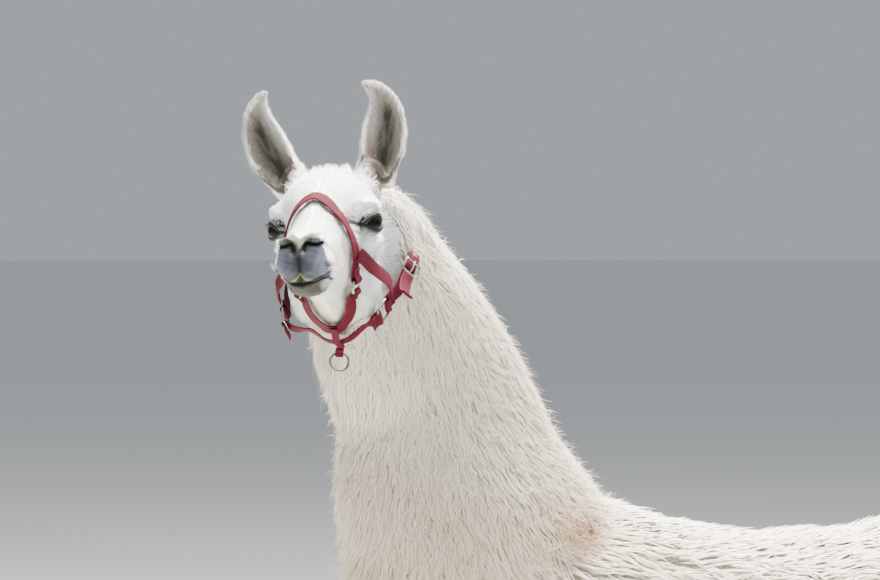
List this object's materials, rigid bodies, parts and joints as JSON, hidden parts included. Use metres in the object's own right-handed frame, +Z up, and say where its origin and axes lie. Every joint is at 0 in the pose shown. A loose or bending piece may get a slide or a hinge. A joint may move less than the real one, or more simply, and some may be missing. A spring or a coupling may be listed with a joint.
{
  "type": "llama",
  "caption": "Standing white llama looking to its left, with long upright ears, medium wool on neck and body, split feet and a webbing halter with rings.",
  "frame": {"origin": "middle of the underside of the object's box, on the floor between the feet", "axes": "+Z up, the body faces -Y, the animal's left side is +X"},
  "size_m": [0.5772, 1.4566, 1.6744],
  "materials": {
    "coat_white": "medium wool in loose wavy locks",
    "coat_short": "short close fur, dark on the muzzle's bare skin and inside the ears",
    "eye_dark": "wet dark eye",
    "nail_horn": "dark keratin",
    "webbing_red": "woven webbing",
    "halter_metal": "worn nickel-plated wire"
  },
  "bodies": {
    "root": {"ear_left": "coat_short", "ear_right": "coat_short", "eye_left": "eye_dark", "eye_right": "eye_dark", "foreleg_left_foot": "coat_short", "foreleg_left_lower": "coat_short", "foreleg_left_upper": "coat_white", "foreleg_right_foot": "coat_short", "foreleg_right_lower": "coat_short", "foreleg_right_upper": "coat_white", "halter_buckle": "halter_metal", "halter_cheek_strap_left": "webbing_red", "halter_cheek_strap_right": "webbing_red", "halter_chin_strap": "webbing_red", "halter_crown_strap": "webbing_red", "halter_lead_ring": "halter_metal", "halter_noseband": "webbing_red", "halter_ring_front_left": "halter_metal", "halter_ring_front_right": "halter_metal", "halter_ring_rear_left": "halter_metal", "halter_ring_rear_right": "halter_metal", "halter_strap_end": "webbing_red", "halter_tab": "webbing_red", "halter_throat_strap": "webbing_red", "head": "coat_short", "hindleg_left_foot": "coat_short", "hindleg_left_lower": "coat_short", "hindleg_left_upper": "coat_white", "hindleg_right_foot": "coat_short", "hindleg_right_lower": "coat_short", "hindleg_right_upper": "coat_white", "lower_jaw": "coat_short", "nail_fore_left_inner": "nail_horn", "nail_fore_left_outer": "nail_horn", "nail_fore_right_inner": "nail_horn", "nail_fore_right_outer": "nail_horn", "nail_hind_left_inner": "nail_horn", "nail_hind_left_outer": "nail_horn", "nail_hind_right_inner": "nail_horn", "nail_hind_right_outer": "nail_horn", "neck": "coat_white", "tail": "coat_white", "trunk": "coat_white"}
  },
  "joints": []
}
